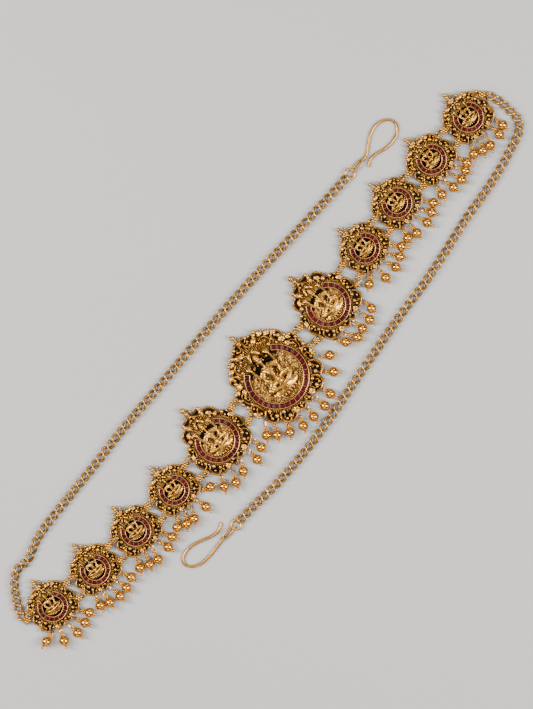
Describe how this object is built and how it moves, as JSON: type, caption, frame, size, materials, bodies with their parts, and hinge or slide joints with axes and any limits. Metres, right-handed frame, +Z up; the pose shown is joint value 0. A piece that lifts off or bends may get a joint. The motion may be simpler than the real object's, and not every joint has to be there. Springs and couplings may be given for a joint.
{
  "type": "hip chain",
  "caption": "Antique-gold hip chain laid flat: openwork medallions with red stones and bead drops, and a curb chain with a wire hook at each end.",
  "frame": {"origin": "centre of the middle medallion's ring, on its flat back, at the surface that the piece lies on", "axes": "+X along the belt towards the end that the lower chain leaves, +Y towards the medallions' points, +Z up from the surface"},
  "size_m": [0.3584, 0.0821, 0.0057],
  "materials": {
    "cast_gold": "antiqued cast gold with dark recesses",
    "bright_gold": "polished gold",
    "chain_gold": "worn polished gold",
    "red_stone": "polished dark red"
  },
  "bodies": {
    "root": {"medallion_01": "cast_gold", "stone_band_01": "red_stone", "bead_drops_01": "bright_gold", "medallion_02": "cast_gold", "stone_band_02": "red_stone", "bead_drops_02": "bright_gold", "medallion_03": "cast_gold", "stone_band_03": "red_stone", "bead_drops_03": "bright_gold", "medallion_04": "cast_gold", "stone_band_04": "red_stone", "bead_drops_04": "bright_gold", "medallion_05": "cast_gold", "stone_band_05": "red_stone", "bead_drops_05": "bright_gold", "medallion_06": "cast_gold", "stone_band_06": "red_stone", "bead_drops_06": "bright_gold", "medallion_07": "cast_gold", "stone_band_07": "red_stone", "bead_drops_07": "bright_gold", "medallion_08": "cast_gold", "stone_band_08": "red_stone", "bead_drops_08": "bright_gold", "medallion_09": "cast_gold", "stone_band_09": "red_stone", "bead_drops_09": "bright_gold", "medallion_10": "cast_gold", "stone_band_10": "red_stone", "bead_drops_10": "bright_gold", "medallion_11": "cast_gold", "stone_band_11": "red_stone", "bead_drops_11": "bright_gold", "rosette_link_upper_01": "cast_gold", "rosette_link_lower_01": "cast_gold", "rosette_link_upper_02": "cast_gold", "rosette_link_lower_02": "cast_gold", "rosette_link_upper_03": "cast_gold", "rosette_link_lower_03": "cast_gold", "rosette_link_upper_04": "cast_gold", "rosette_link_lower_04": "cast_gold", "rosette_link_upper_05": "cast_gold", "rosette_link_lower_05": "cast_gold", "rosette_link_upper_06": "cast_gold", "rosette_link_lower_06": "cast_gold", "rosette_link_upper_07": "cast_gold", "rosette_link_lower_07": "cast_gold", "rosette_link_upper_08": "cast_gold", "rosette_link_lower_08": "cast_gold", "rosette_link_upper_09": "cast_gold", "rosette_link_lower_09": "cast_gold", "rosette_link_upper_10": "cast_gold", "rosette_link_lower_10": "cast_gold", "chain_rosette_left": "cast_gold", "curb_chain_left": "chain_gold", "hook_left": "bright_gold", "chain_rosette_right": "cast_gold", "curb_chain_right": "chain_gold", "hook_right": "bright_gold"}
  },
  "joints": []
}
